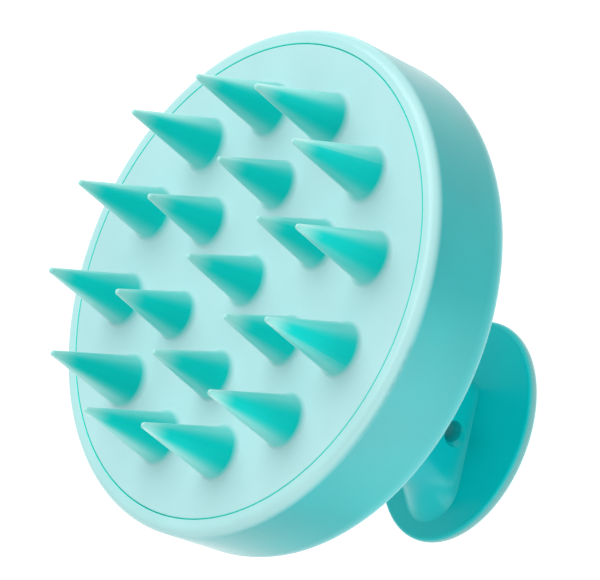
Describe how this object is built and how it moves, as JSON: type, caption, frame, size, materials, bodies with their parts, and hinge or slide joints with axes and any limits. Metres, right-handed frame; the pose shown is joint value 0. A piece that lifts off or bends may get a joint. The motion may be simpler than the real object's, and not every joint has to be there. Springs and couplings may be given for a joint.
{
  "type": "scalp massager brush",
  "caption": "Palm-held scalp massager: a round body with a silicone pad of pointed bristles, on a leaning neck with an oval palm plate.",
  "frame": {"origin": "on the body's axis, in the plane of the palm face, which is the lowest face", "axes": "+Z along the body's axis towards the bristle tips; the handle lies off that axis towards -X and is symmetric about the XZ plane"},
  "size_m": [0.0878, 0.0878, 0.0755],
  "materials": {
    "teal_abs": "moulded gloss",
    "teal_silicone": "satin, slightly translucent",
    "inner_plastic": "moulded matt",
    "screw_steel": "plain"
  },
  "bodies": {
    "root": {"body_housing": "teal_abs", "bristle_pad": "teal_silicone", "backing_plate": "inner_plastic", "rear_cover": "teal_abs", "handle_grip": "teal_abs", "palm_cap": "teal_abs", "handle_screws": "screw_steel"}
  },
  "joints": []
}
